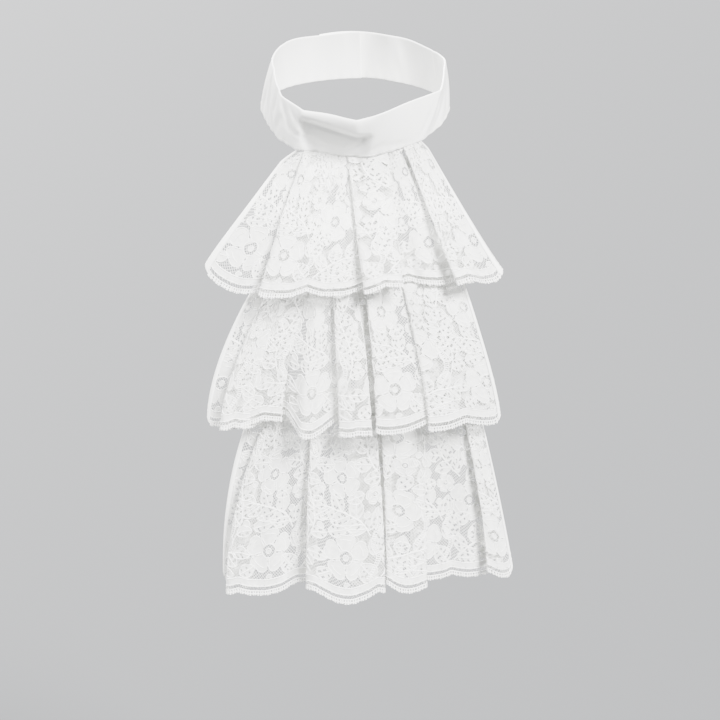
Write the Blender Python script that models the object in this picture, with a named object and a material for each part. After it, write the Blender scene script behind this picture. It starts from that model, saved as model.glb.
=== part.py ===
"""Three-tier lace jabot: a satin neckband with three pleated lace frills down the front.

The wearer's neck stands at the origin, +Z is up and the frills face -Y.
Positions along a frill are given in its plan: x across the chest, and how far the cloth
stands in front of the wearer's chest.
"""

import math
from collections import namedtuple

import bmesh
import bpy
from mathutils import Vector

MM = 0.001

LACE_WALL = 1.0 * MM
SATIN_WALL = 1.8 * MM
TAPE_WALL = 1.0 * MM
NET_WALL = 1.0 * MM
SEAM_GAP = 0.3 * MM

# The chest that the frills hang against: a slope from the neck that turns vertical
CHEST_TOP_Y = -38.0 * MM
CHEST_TOP_Z = -41.0 * MM
CHEST_REACH = 36.5 * MM
CHEST_DROP = 170.0 * MM
CHEST_ROUND_TOP = 185.0 * MM
CHEST_ROUND_LOW = 240.0 * MM
SEAM_FADE = 60.0 * MM
SEAM_FRONT_Y = -8.0 * MM

NECKBAND_SWELL = 1.2 * MM
NECKBAND_DENT = 2.4 * MM
DENT_CENTRE_X = -18.0 * MM
DENT_HALF_WIDTH = 20.0 * MM
NECKBAND_ROWS = 7
CORNER_STEPS = 4
LAP_CORNERS = 1
TAPE_SHARE_OF_HEIGHT = 0.56
TAPE_STEPS = 3

BACKING_WIDTH = 58.0 * MM
BACKING_END_Z = -219.0 * MM
BACKING_COLUMNS = 8
BACKING_ROWS = 16

SCALLOP_WIDTH = 47.0 * MM
SCALLOP_DEPTH = 4.5 * MM
HEM_CORNER_ROUND = 6.0 * MM
FRILL_ROWS = 9
TURN_STEPS = 5
PANEL_STEP = 8.5 * MM

# Neckband corners, clockwise from the nape seen from above: top edge, then bottom edge
Corner = namedtuple("Corner", "top_x top_y top_z low_x low_y low_z crisp")
NECKBAND_CORNERS = [
    Corner(4.0, 52.5, 45.5, 5.0, 57.5, 9.0, False),
    Corner(-26.0, 48.5, 44.0, -30.0, 53.5, 7.0, False),
    Corner(-50.0, 34.0, 40.5, -56.5, 38.5, 2.5, False),
    Corner(-62.2, 5.0, 32.2, -71.5, 6.0, -5.5, False),
    Corner(-61.0, -14.0, 20.0, -67.0, -11.0, -17.0, False),
    Corner(-54.8, -31.0, 5.5, -58.0, -25.0, -28.0, True),
    Corner(-38.3, -47.0, -3.5, -44.5, -33.5, -35.0, True),
    Corner(1.6, -57.5, -9.4, 1.6, -40.5, -40.2, False),
    Corner(24.0, -51.5, -4.0, 24.0, -38.0, -36.5, False),
    Corner(64.6, -25.5, 9.8, 50.0, -28.0, -29.0, True),
    Corner(68.0, -6.0, 21.0, 67.0, -9.0, -17.5, False),
    Corner(67.6, 14.0, 29.8, 71.5, 12.0, -6.0, False),
    Corner(51.5, 36.0, 37.0, 58.0, 40.0, 1.0, False),
    Corner(28.0, 48.5, 43.5, 33.0, 53.0, 6.5, False),
]

# Folds of each frill from the wearer's right edge to the left one. head_x, hem_x: where the
# fold lies at the seam and at the hem. hem_out: how far it stands off the chest at the hem.
# round: its radius at the hem. front: True where the cloth turns round the front of the pleat.
# hem_z: height of the hem there. swell: how far the panel after it bows out.
# dip: how far the hem of that panel hangs lower at its middle.
Fold = namedtuple("Fold", "head_x hem_x hem_out round front hem_z swell dip")
UPPER_FOLDS = [
    Fold(-43.5, -113.0, 16.0, 0.0, None, -124.0, 2.0, 7.0),
    Fold(-8.0, -50.0, 14.5, 3.5, False, -132.0, 0.5, 0.0),
    Fold(-37.5, -68.0, 26.0, 3.5, True, -133.0, 4.0, 0.0),
    Fold(5.0, 16.5, 14.0, 3.0, False, -130.0, 0.0, 0.0),
    Fold(-4.5, 10.5, 26.0, 3.0, True, -129.0, 2.0, 0.0),
    Fold(23.5, 34.0, 26.5, 3.0, True, -124.5, 0.0, 0.0),
    Fold(18.5, 30.0, 14.5, 2.5, False, -126.0, 2.0, 1.0),
    Fold(45.5, 92.0, 14.0, 3.5, False, -125.0, 0.0, 0.0),
    Fold(37.0, 79.0, 26.0, 3.5, True, -126.0, 2.0, 1.5),
    Fold(49.5, 112.5, 17.0, 0.0, None, -124.5, 0.0, 0.0),
]
MIDDLE_FOLDS = [
    Fold(-58.0, -112.5, 16.0, 0.0, None, -237.5, 2.0, 1.0),
    Fold(-22.0, -58.0, 14.0, 3.5, False, -229.0, 0.5, 0.0),
    Fold(-48.5, -97.5, 26.5, 3.5, True, -237.0, 0.0, 3.5),
    Fold(-35.0, -60.0, 19.0, 9.0, False, -226.5, 0.0, 0.0),
    Fold(-26.0, -35.0, 21.5, 7.0, True, -237.5, 0.0, 0.0),
    Fold(-12.0, -5.0, 14.0, 3.0, False, -226.0, 0.0, 0.0),
    Fold(-17.0, -10.0, 26.5, 3.0, True, -235.5, 1.5, 2.0),
    Fold(-3.5, 10.5, 26.5, 3.0, True, -235.5, 0.0, 0.0),
    Fold(-9.0, 4.5, 14.0, 3.0, False, -230.5, 1.0, 0.0),
    Fold(22.5, 35.5, 14.0, 3.0, False, -231.5, 0.0, 0.0),
    Fold(5.5, 19.0, 27.0, 3.0, True, -234.5, 2.0, 0.0),
    Fold(62.5, 102.5, 13.5, 3.5, False, -228.0, 0.5, 0.0),
    Fold(30.0, 58.0, 26.5, 3.5, True, -232.5, 3.5, -1.0),
    Fold(73.0, 110.0, 17.0, 0.0, None, -235.0, 0.0, 0.0),
]
LOWER_FOLDS = [
    Fold(-71.0, -102.5, 11.0, 0.0, None, -362.0, 1.0, 3.0),
    Fold(-37.5, -80.0, 9.0, 3.0, False, -364.0, 0.5, 0.0),
    Fold(-54.5, -96.0, 22.0, 3.0, True, -370.0, 3.0, 2.0),
    Fold(-25.0, -31.5, 8.5, 3.0, False, -358.0, 0.0, 0.0),
    Fold(-29.5, -35.5, 22.5, 3.0, True, -359.5, 3.0, 6.0),
    Fold(13.0, 19.0, 24.0, 3.0, True, -362.0, 0.0, 0.0),
    Fold(-7.5, -1.0, 8.5, 3.0, False, -357.5, 1.0, 0.0),
    Fold(28.0, 32.5, 8.5, 3.0, False, -356.0, 0.0, 0.0),
    Fold(19.0, 26.5, 23.0, 3.0, True, -355.0, 1.0, 3.0),
    Fold(52.0, 51.0, 24.0, 3.0, True, -359.0, 0.0, 0.0),
    Fold(43.0, 45.5, 9.0, 3.0, False, -355.5, 2.0, 4.0),
    Fold(87.5, 112.0, 9.0, 2.5, False, -356.0, 0.0, 0.0),
    Fold(79.5, 104.5, 19.5, 2.5, True, -353.5, 1.5, 2.0),
    Fold(90.5, 123.5, 12.0, 0.0, None, -361.5, 0.0, 0.0),
]

# Each frill: height of its seam, or None where it follows the neckband's lower edge, how
# quickly its two side edges spread below the seam, and where its scallops start
Frill = namedtuple("Frill", "name folds head_z spread_first spread_last scallop_start")
FRILLS = [
    Frill("frill_upper", UPPER_FOLDS, None, 1.1, 0.97, 0.1),
    Frill("frill_middle", MIDDLE_FOLDS, -106.5, 1.65, 1.3, 0.35),
    Frill("frill_lower", LOWER_FOLDS, -210.5, 2.2, 1.1, 0.6),
]

# A pleat is three layers of cloth at the seam, turned round circles of this radius
HEAD_TURN = 0.8 * MM
HEAD_BACK_OUT = NET_WALL + SEAM_GAP + LACE_WALL / 2 + HEAD_TURN
HEAD_MIDDLE_OUT = HEAD_BACK_OUT + HEAD_TURN
HEAD_FRONT_OUT = HEAD_MIDDLE_OUT + HEAD_TURN
HEAD_HALF_WIDTH = 56.0 * MM

# The neckband leans forward, so its lower edge is slanted: the frill's seam lies this far
# under its middle line, and lower still towards the front
HEAD_DROP = 0.7 * MM
NECKBAND_LEAN = 0.35


def lerp(a, b, share):
    return a + (b - a) * share


def clamp(value, low, high):
    return max(low, min(high, value))


def edge_curve(corners, crisp):
    """Closed run through the corners: smooth, but it breaks its direction at a crisp corner."""
    points = []
    count = len(corners)
    for k in range(count):
        here = corners[k]
        ahead = corners[(k + 1) % count]
        chord = ahead - here
        leave = chord if crisp[k] else (ahead - corners[k - 1]) / 2
        arrive = chord if crisp[(k + 1) % count] else (corners[(k + 2) % count] - here) / 2
        for step in range(CORNER_STEPS):
            s = step / CORNER_STEPS
            points.append(here * (2 * s ** 3 - 3 * s ** 2 + 1)
                          + leave * (s ** 3 - 2 * s ** 2 + s)
                          + ahead * (3 * s ** 2 - 2 * s ** 3)
                          + arrive * (s ** 3 - s ** 2))
    return points


def outward(point):
    """Level direction away from the neck's axis."""
    return Vector((point.x, point.y, 0.0)).normalized()


def neckband_edges():
    """Closed top and lower edges of the neckband, from the nape round by the wearer's right."""
    crisp = [corner.crisp for corner in NECKBAND_CORNERS]
    tops = [Vector(corner[0:3]) * MM for corner in NECKBAND_CORNERS]
    lows = [Vector(corner[3:6]) * MM for corner in NECKBAND_CORNERS]
    return edge_curve(tops, crisp), edge_curve(lows, crisp)


def neckband_row(edges, share, first, last, lift_out):
    """Points of the neckband at this share of its height, pushed outward by lift_out(step)."""
    tops, lows = edges
    row = []
    for step in range(first, last + 1):
        point = tops[step % len(tops)].lerp(lows[step % len(lows)], share)
        bow = NECKBAND_SWELL * 4 * share * (1 - share)
        reach = (point.x - DENT_CENTRE_X) / DENT_HALF_WIDTH
        if point.y < 0:
            bow -= NECKBAND_DENT * math.exp(-reach * reach) * math.sin(math.pi * share) ** 2
        row.append(point + outward(point) * (bow + lift_out(step)))
    return row


def seam_line():
    """Front stretch of the neckband's lower edge, from the wearer's right to the left."""
    lows = neckband_edges()[1]
    front = [point for point in lows if point.y < SEAM_FRONT_Y]
    return sorted(front, key=lambda point: point.x)


SEAM_LINE = seam_line()


def seam_at(x):
    """Depth and height of the neckband's lower edge at this distance across."""
    for before, after in zip(SEAM_LINE, SEAM_LINE[1:]):
        if x <= after.x:
            break
    share = (x - before.x) / (after.x - before.x)
    return lerp(before.y, after.y, share), lerp(before.z, after.z, share)


def make_neckband(material):
    """The satin strip: its last end laps over the first one at the nape."""
    edges = neckband_edges()
    ring_steps = len(edges[0])
    last_step = ring_steps + LAP_CORNERS * CORNER_STEPS
    lap_out = SATIN_WALL + 2 * TAPE_WALL + 3 * SEAM_GAP

    def lift_out(step):
        ramp = clamp((step - ring_steps + CORNER_STEPS) / CORNER_STEPS, 0.0, 1.0)
        return lap_out * ramp * ramp * (3 - 2 * ramp)

    rows = [neckband_row(edges, j / (NECKBAND_ROWS - 1), 0, last_step, lift_out)
            for j in range(NECKBAND_ROWS)]
    return add_object("neckband", wall_from_grid(rows, SATIN_WALL), material)


def make_tape(name, layer, material):
    """One closure tape between the lapped ends: layer 0 is on the end beneath, 1 on the upper."""
    edges = neckband_edges()
    out = SATIN_WALL / 2 + SEAM_GAP + TAPE_WALL / 2 + layer * (TAPE_WALL + SEAM_GAP)
    margin = (1 - TAPE_SHARE_OF_HEIGHT) / 2
    shares = [lerp(margin, 1 - margin, j / TAPE_STEPS) for j in range(TAPE_STEPS + 1)]
    last_step = LAP_CORNERS * CORNER_STEPS
    rows = [neckband_row(edges, share, 0, last_step, lambda step: out) for share in shares]
    return add_object(name, wall_from_grid(rows, TAPE_WALL), material)


def chest_y(x, z):
    """Surface that the cloth hangs against: the neckband's seam above, the chest below it."""
    share = clamp((CHEST_TOP_Z - z) / CHEST_DROP, 0.0, 1.0)
    roundness = lerp(CHEST_ROUND_TOP, CHEST_ROUND_LOW, share)
    chest = CHEST_TOP_Y - CHEST_REACH * share * (2 - share) + x * x / (2 * roundness)
    seam_y, seam_z = seam_at(clamp(x, -HEAD_HALF_WIDTH, HEAD_HALF_WIDTH))
    fade = 1 - clamp((seam_z - z) / SEAM_FADE, 0.0, 1.0)
    at_seam = seam_y + HEAD_MIDDLE_OUT
    return lerp(chest, at_seam, fade * fade * (3 - 2 * fade))


def make_material(name, color, roughness, sheen=0.0):
    material = bpy.data.materials.new(name)
    material.use_nodes = True
    shader = material.node_tree.nodes["Principled BSDF"]
    shader.inputs["Base Color"].default_value = (*color, 1.0)
    shader.inputs["Roughness"].default_value = roughness
    shader.inputs["Metallic"].default_value = 0.0
    shader.inputs["Sheen Weight"].default_value = sheen
    return material


def add_object(name, mesh_builder, material):
    """Turn a bmesh into a named, smooth-shaded object."""
    mesh = bpy.data.meshes.new(name)
    mesh_builder.to_mesh(mesh)
    mesh_builder.free()
    mesh.shade_smooth()
    mesh.set_sharp_from_angle(angle=math.radians(50))
    mesh.materials.append(material)
    thing = bpy.data.objects.new(name, mesh)
    bpy.context.scene.collection.objects.link(thing)
    return thing


def grid_normals(points):
    """Unit normals of a grid of points, by the spans to the neighbours of each."""
    rows = len(points)
    columns = len(points[0])
    normals = []
    for j in range(rows):
        line = []
        for i in range(columns):
            before = points[j][max(i - 1, 0)]
            after = points[j][min(i + 1, columns - 1)]
            above = points[max(j - 1, 0)][i]
            below = points[min(j + 1, rows - 1)][i]
            line.append((below - above).cross(after - before).normalized())
        normals.append(line)
    return normals


def wall_from_grid(points, wall):
    """A closed cloth wall with the grid as its middle surface."""
    normals = grid_normals(points)
    rows = len(points)
    columns = len(points[0])
    builder = bmesh.new()
    outer = [[builder.verts.new(points[j][i] + normals[j][i] * wall / 2) for i in range(columns)]
             for j in range(rows)]
    inner = [[builder.verts.new(points[j][i] - normals[j][i] * wall / 2) for i in range(columns)]
             for j in range(rows)]
    for j in range(rows - 1):
        for i in range(columns - 1):
            builder.faces.new((outer[j][i], outer[j + 1][i], outer[j + 1][i + 1], outer[j][i + 1]))
            builder.faces.new((inner[j][i], inner[j][i + 1], inner[j + 1][i + 1], inner[j + 1][i]))
    rim_outer = []
    rim_inner = []
    for side, rim in ((outer, rim_outer), (inner, rim_inner)):
        rim.extend(side[0])
        rim.extend(side[j][-1] for j in range(1, rows))
        rim.extend(reversed(side[-1][:-1]))
        rim.extend(side[j][0] for j in range(rows - 2, 0, -1))
    for k in range(len(rim_outer)):
        n = (k + 1) % len(rim_outer)
        builder.faces.new((rim_outer[k], rim_outer[n], rim_inner[n], rim_inner[k]))
    bmesh.ops.triangulate(builder, faces=builder.faces)
    bmesh.ops.recalc_face_normals(builder, faces=builder.faces)
    return builder


def fold_circles(frill, share):
    """Centre, turning side and radius of each fold in the plan, this far down the frill."""
    circles = []
    last = len(frill.folds) - 1
    for k, fold in enumerate(frill.folds):
        spread = lerp(frill.spread_first, frill.spread_last, k / last)
        eased = 1 - (1 - share) ** spread
        x = lerp(fold.head_x, fold.hem_x, eased) * MM
        head_out = HEAD_FRONT_OUT if fold.front else HEAD_BACK_OUT
        out = lerp(head_out, fold.hem_out * MM, share)
        radius = lerp(HEAD_TURN, fold.round * MM, share)
        if fold.front is None:
            signed = 0.0
        else:
            signed = radius if fold.front else -radius
        circles.append((x, out, signed))
    return circles


def panel_headings(circles):
    """Heading of the straight stretch of cloth from each fold to the next."""
    headings = []
    for (x0, out0, turn0), (x1, out1, turn1) in zip(circles, circles[1:]):
        length = math.hypot(x1 - x0, out1 - out0)
        direct = math.atan2(out1 - out0, x1 - x0)
        headings.append(direct - math.asin((turn0 - turn1) / length))
    return headings


def beside(circle, heading):
    """Where the cloth touches a fold's circle while it runs at this heading."""
    x, out, signed = circle
    return (x - math.sin(heading) * signed, out + math.cos(heading) * signed)


def plan_line(frill, share, panel_counts):
    """One row of the frill in its plan: (x, out, place along the frill, counted in folds)."""
    circles = fold_circles(frill, share)
    headings = panel_headings(circles)
    line = [(*beside(circles[0], headings[0]), 0.0)]
    for k, heading in enumerate(headings):
        start = beside(circles[k], heading)
        end = beside(circles[k + 1], heading)
        swell = frill.folds[k].swell * MM * share
        for step in range(1, panel_counts[k]):
            s = step / panel_counts[k]
            bow = swell * 4 * s * (1 - s)
            line.append((lerp(start[0], end[0], s), lerp(start[1], end[1], s) + bow, k + s))
        line.append((*end, k + 1.0))
        if k + 1 < len(headings):
            circle = circles[k + 1]
            turning = headings[k + 1] - heading
            if circle[2] < 0:
                turning = turning % math.tau
            else:
                turning = -(-turning % math.tau)
            for step in range(1, TURN_STEPS):
                angle = heading + turning * step / (TURN_STEPS - 1)
                line.append((*beside(circle, angle), k + 1.0))
    return line


def corner_lift(length, lengths):
    """How far the rounded lower corners raise the hem near either end of the frill."""
    inside = HEM_CORNER_ROUND - min(length, lengths[-1] - length, HEM_CORNER_ROUND)
    return HEM_CORNER_ROUND - math.sqrt(HEM_CORNER_ROUND ** 2 - inside ** 2)


def frill_points(frill):
    """The frill's middle surface as rows of points from its seam to its scalloped hem."""
    hem_circles = fold_circles(frill, 1.0)
    panel_counts = []
    for (x0, out0, _), (x1, out1, _) in zip(hem_circles, hem_circles[1:]):
        panel_counts.append(max(2, round(math.hypot(x1 - x0, out1 - out0) / PANEL_STEP)))
    hem_line = plan_line(frill, 1.0, panel_counts)
    lengths = [0.0]
    for before, after in zip(hem_line, hem_line[1:]):
        lengths.append(lengths[-1] + math.hypot(after[0] - before[0], after[1] - before[1]))
    drops = []
    for (_, _, place), length in zip(hem_line, lengths):
        fold = min(int(place), len(frill.folds) - 2)
        s = place - fold
        level = lerp(frill.folds[fold].hem_z, frill.folds[fold + 1].hem_z, s)
        flat_hem = (level - frill.folds[fold].dip * 4 * s * (1 - s)) * MM
        phase = length / SCALLOP_WIDTH + frill.scallop_start
        across = 2 * (phase - math.floor(phase)) - 1
        drops.append(flat_hem - SCALLOP_DEPTH * (1 - across * across) + corner_lift(length, lengths))
    rows = []
    for j in range(FRILL_ROWS):
        share = j / (FRILL_ROWS - 1)
        row = []
        for (x, out, _), hem_z in zip(plan_line(frill, share, panel_counts), drops):
            if frill.head_z is None:
                head_z = seam_at(clamp(x, -HEAD_HALF_WIDTH, HEAD_HALF_WIDTH))[1] - HEAD_DROP
                head_z -= (out - HEAD_MIDDLE_OUT) * NECKBAND_LEAN
            else:
                head_z = frill.head_z * MM
            z = lerp(head_z, hem_z, share)
            row.append(Vector((x, chest_y(x, z) - out, z)))
        rows.append(row)
    return rows


def make_frill(frill, material):
    return add_object(frill.name, wall_from_grid(frill_points(frill), LACE_WALL), material)


def make_backing(material):
    """The strip of net that hangs from the neckband's lower edge behind the frills."""
    rows = []
    for j in range(BACKING_ROWS + 1):
        row = []
        for i in range(BACKING_COLUMNS + 1):
            x = BACKING_WIDTH * (i / BACKING_COLUMNS - 0.5)
            z = lerp(seam_at(x)[1] - HEAD_DROP, BACKING_END_Z, j / BACKING_ROWS)
            row.append(Vector((x, chest_y(x, z) - NET_WALL / 2, z)))
        rows.append(row)
    return add_object("backing", wall_from_grid(rows, NET_WALL), material)


def clear_scene():
    for thing in list(bpy.data.objects):
        bpy.data.objects.remove(thing, do_unlink=True)


def main():
    clear_scene()
    satin = make_material("white satin", (0.93, 0.93, 0.92), 0.32, 0.3)
    lace = make_material("white lace", (0.9, 0.9, 0.88), 0.75)
    net = make_material("white net", (0.88, 0.88, 0.86), 0.8)
    tape = make_material("white closure tape", (0.86, 0.86, 0.84), 0.85)
    make_neckband(satin)
    make_tape("closure_hook", 0, tape)
    make_tape("closure_loop", 1, tape)
    make_backing(net)
    for frill in FRILLS:
        make_frill(frill, lace)


main()
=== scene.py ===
import math
import bmesh
import bpy
import numpy as np
from mathutils import Matrix, Vector


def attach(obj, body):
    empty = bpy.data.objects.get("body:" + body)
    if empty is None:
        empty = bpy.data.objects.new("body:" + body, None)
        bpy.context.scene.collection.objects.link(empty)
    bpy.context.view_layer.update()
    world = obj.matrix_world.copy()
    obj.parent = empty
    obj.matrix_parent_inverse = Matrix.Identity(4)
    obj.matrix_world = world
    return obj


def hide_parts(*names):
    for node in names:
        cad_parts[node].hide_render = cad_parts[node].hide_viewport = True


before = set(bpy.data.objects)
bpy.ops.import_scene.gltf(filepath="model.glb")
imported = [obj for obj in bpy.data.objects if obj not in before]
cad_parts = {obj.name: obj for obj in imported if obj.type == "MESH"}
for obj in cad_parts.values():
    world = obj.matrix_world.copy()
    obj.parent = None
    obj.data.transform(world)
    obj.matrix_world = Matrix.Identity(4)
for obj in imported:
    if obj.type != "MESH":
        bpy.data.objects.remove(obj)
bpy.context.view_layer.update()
mm = 0.001


# small helpers for numbers

def mix(a, b, share):
    return a + (b - a) * share


def clamp(value, low, high):
    return max(low, min(high, value))


def smoothShare(share):
    share = clamp(share, 0.0, 1.0)
    return share * share * (3 - 2 * share)


def smoothArray(share):
    share = np.clip(share, 0.0, 1.0)
    return share * share * (3 - 2 * share)


def hump(share):
    # nothing at both ends, 1 in the middle
    return 4 * share * (1 - share)


def turned(x, y, degrees):
    # the same point, read along axes turned by so many degrees
    c = math.cos(math.radians(degrees))
    s = math.sin(math.radians(degrees))
    return x * c + y * s, y * c - x * s


def polar(x, y, degrees, reach):
    angle = math.radians(degrees)
    return (x + reach * math.cos(angle), y + reach * math.sin(angle))


def lengthsAlong(points):
    lengths = [0.0]
    for before, after in zip(points, points[1:]):
        lengths.append(lengths[-1] + math.dist(before, after))
    return lengths


def sumWaves(waves, along):
    # waves: depth, length, how far and how fast the beat wanders, phase
    total = 0.0
    for depth, length, sway, rate, phase in waves:
        total = total + depth * np.sin(math.tau * along / length + phase + sway * np.sin(along * rate))
    return total


def gridBlend(grid, lines, columns):
    # what a grid of numbers or points holds between its lines and columns
    top = np.clip(np.floor(lines).astype(int), 0, grid.shape[0] - 2)
    left = np.clip(np.floor(columns).astype(int), 0, grid.shape[1] - 2)
    shape = (-1,) + (1,) * (grid.ndim - 2)
    down = (lines - top).reshape(shape)
    across = (columns - left).reshape(shape)
    upper = grid[top, left] * (1 - across) + grid[top, left + 1] * across
    lower = grid[top + 1, left] * (1 - across) + grid[top + 1, left + 1] * across
    return upper * (1 - down) + lower * down


# objects and meshes

def addToScene(name, data):
    holder = bpy.data.objects.new(name, data)
    bpy.context.scene.collection.objects.link(holder)
    return holder


def addPiece(name, mesh, material):
    mesh.materials.append(material)
    return addToScene(name, mesh)


def finishMesh(name, bm):
    mesh = bpy.data.meshes.new(name)
    bm.to_mesh(mesh)
    bm.free()
    mesh.shade_smooth()
    return mesh


def triangleCount(mesh):
    return sum(len(face.vertices) - 2 for face in mesh.polygons)


# A surface is a grid of points of the hanging cloth, row by row from its seam down, with the
# cloth's own length at each column. Pieces are modelled flat, as (along, down, off the cloth),
# and then hung on it.

def makeSurface(rows, lengths, relief=None):
    # relief: how far the cloth stands off the grid, from metres along and the share down
    points = np.array([[tuple(p) for p in row] for row in rows], dtype=float)
    normals = np.cross(np.gradient(points, axis=0), np.gradient(points, axis=1))
    normals /= np.linalg.norm(normals, axis=2, keepdims=True)
    drops = np.linalg.norm(points[1:] - points[:-1], axis=2).sum(axis=0)
    return {
        "points": points,
        "normals": normals,
        "lengths": np.array(lengths),
        "width": lengths[-1],
        "height": float(drops.mean()),
        "relief": relief,
    }


def placeGrid(place, rowCount, columnCount):
    # rows of points from a function of the shares across and down
    return [[place(i / (columnCount - 1), j / (rowCount - 1)) for i in range(columnCount)]
            for j in range(rowCount)]


def clothPoints(surface, flat):
    points = surface["points"]
    columns = np.interp(flat[:, 0], surface["lengths"], np.arange(points.shape[1]))
    lines = flat[:, 1] / surface["height"] * (points.shape[0] - 1)
    off = flat[:, 2].copy()
    if surface["relief"]:
        off += surface["relief"](flat[:, 0], flat[:, 1] / surface["height"])
    facing = gridBlend(surface["normals"], lines, columns)
    facing /= np.linalg.norm(facing, axis=1, keepdims=True)
    return gridBlend(points, lines, columns) + facing * off[:, None]


def hang(mesh, surface):
    count = len(mesh.vertices)
    flat = np.empty(count * 3)
    mesh.vertices.foreach_get("co", flat)
    flat = flat.reshape(-1, 3)
    corners = np.empty(len(mesh.loops), dtype=np.int32)
    mesh.loops.foreach_get("vertex_index", corners)
    layer = mesh.uv_layers.new(name="cloth")
    layer.data.foreach_set("uv", flat[corners, :2].ravel())
    mesh.vertices.foreach_set("co", clothPoints(surface, flat).ravel())
    mesh.update()


def dentDepths(dents, along, down):
    # soft creases: how far along and down in mm, direction, half length, half width, depth
    total = np.zeros_like(along)
    for x, y, angle, halfLength, halfWidth, depth in dents:
        lengthwise, across = turned(along / mm - x, down / mm - y, angle)
        total += depth * mm * np.exp(-(across / halfWidth) ** 2 - (lengthwise / halfLength) ** 2)
    return total


# the neckband's ring: same corners as the frame's solid

neckbandValues = {
    "wall": 1.8 * mm,  # of the solid
    "clothThickness": 1.3 * mm,
    "height": 37 * mm,
    "swell": 1.2 * mm,  # how far the middle of its height bows out
    # the hollow in front: its ends at the top and at the seam, and the rolled strip above it
    "dentDepth": 6.4 * mm,
    "dentFrom": (-43 * mm, -39 * mm),
    "dentTo": (19 * mm, 9 * mm),
    "dentEnds": (5 * mm, 8 * mm),
    "dentTop": (0.14, 0.44),
    "dentSlope": 0.1,
    "dentFade": 0.1,
    "creaseExtra": 0.2,
    "creaseWidth": 0.07,
    "fadeFrom": 0.6,
    "stripBulge": 1.3 * mm,
    "stripPeak": 0.65,
    # uneven standing: its depth, and the beats along the band in and out, of their wander, and up
    "settle": 0.5 * mm,
    "settleBeat": 6.1 * mm,
    "settleSway": 2.0,
    "settleSwayBeat": 31 * mm,
    "settleLiftBeat": 9.3 * mm,
    "settleLiftPhase": 1.0,
    # soft creases, as dentDepths reads them
    "creases": [
        (119, 14, 72, 15, 2.4, 1.5), (127, 22, 58, 13, 2, 1.6),
        (133, 12, 96, 12, 1.8, 1.3), (141, 23, 112, 11, 2.2, 1.4),
        (148, 12, 60, 11, 1.8, 1.4), (111, 25, 100, 10, 2.4, 1.3),
        (159, 12, 40, 9, 1.8, 1), (164, 24, 16, 14, 2.6, 1),
        (172, 30, 6, 14, 2.2, 0.6), (205, 27, -38, 10, 2, 0.9),
        (211, 20, -52, 9, 2.2, 0.8), (219, 30, -20, 12, 2.4, 0.6),
        (238, 32, 8, 15, 2.6, 0.6), (254, 14, 78, 11, 2.8, 0.3),
        (266, 22, 94, 14, 2.2, 0.9), (274, 12, 74, 10, 2.4, 0.8),
        (284, 25, 108, 11, 2.4, 0.7), (98, 18, 84, 14, 2.6, 0.8),
        (298, 24, 84, 12, 3, 0.6), (318, 15, 102, 14, 3.4, 0.7),
        (334, 16, 86, 17, 1.5, 1.2), (350, 22, 80, 12, 3, 0.6),
        (371, 17, 96, 13, 3.2, 0.6), (14, 8, 100, 9, 3, 0.4),
        (44, 20, 82, 13, 3.2, 0.7), (69, 14, 104, 13, 3.2, 0.7),
    ],
    "cornerSteps": 16,
    "rows": 25,
    "cell": 1.7 * mm,
    "foldRound": 0.6 * mm,
    "foldSegments": 3,
    # puckers at the seam, as sumWaves reads them
    "puckers": [(0.3 * mm, 8 * mm, 1.3, 97.0, 0.0)],
    "puckerFade": 0.2,
    # stitches: pitch and length, and how far from the seam
    "seamStitch": (3 * mm, 2.3 * mm),
    "seamStitchUp": 2.2 * mm,
    # the rectangle sewn through the lapped end
    "lapStitch": (2.6 * mm, 2 * mm),
    "lapTop": 5 * mm,
    "lapFoot": 6 * mm,
    "lapFrom": 29 * mm,  # from the end of the band, like the next two
    "lapTo": 3 * mm,
    "lapSide": 2.6 * mm,
    "thread": 0.2 * mm,
    # what lies inside the lap: two tapes and the air round them
    "tapeWall": 1 * mm,
    "gap": 0.3 * mm,
    # top x, y, z, lower x, y, z in mm, and whether the corner is crisp above and below
    "corners": [
        (4, 52.5, 45.5, 5, 57.5, 9, False, False),
        (-26, 48.5, 44, -30, 53.5, 7, False, False),
        (-50, 34, 40.5, -56.5, 38.5, 2.5, False, False),
        (-62.2, 5, 32.2, -71.5, 6, -5.5, False, False),
        (-61, -14, 20, -67, -11, -17, False, False),
        (-54.8, -31, 5.5, -58, -25, -28, True, True),
        (-38.3, -47, -3.5, -44.5, -33.5, -35, True, True),
        (1.6, -57.5, -9.4, 1.6, -40.5, -40.2, True, False),
        (24, -51.5, -4, 24, -38, -36.5, False, False),
        (64.6, -25.5, 9.8, 50, -28, -29, True, True),
        (68, -6, 21, 67, -9, -17.5, False, False),
        (67.6, 14, 29.8, 71.5, 12, -6, False, False),
        (51.5, 36, 37, 58, 40, 1, False, False),
        (28, 48.5, 43.5, 33, 53, 6.5, False, False),
    ],
}


def edgeCurve(corners, crisp, steps):
    points = []
    count = len(corners)
    for k in range(count):
        here = corners[k]
        ahead = corners[(k + 1) % count]
        chord = ahead - here
        leave = chord if crisp[k] else (ahead - corners[k - 1]) / 2
        arrive = chord if crisp[(k + 1) % count] else (corners[(k + 2) % count] - here) / 2
        for step in range(steps):
            s = step / steps
            points.append(here * (2 * s ** 3 - 3 * s ** 2 + 1)
                          + leave * (s ** 3 - 2 * s ** 2 + s)
                          + ahead * (3 * s ** 2 - 2 * s ** 3)
                          + arrive * (s ** 3 - s ** 2))
    return points


def neckbandEdges():
    corners = neckbandValues["corners"]
    edges = []
    for first, crisp in ((0, 6), (3, 7)):
        places = [Vector(corner[first:first + 3]) * mm for corner in corners]
        crisps = [corner[crisp] for corner in corners]
        edges.append(edgeCurve(places, crisps, neckbandValues["cornerSteps"]))
    return edges


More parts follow.
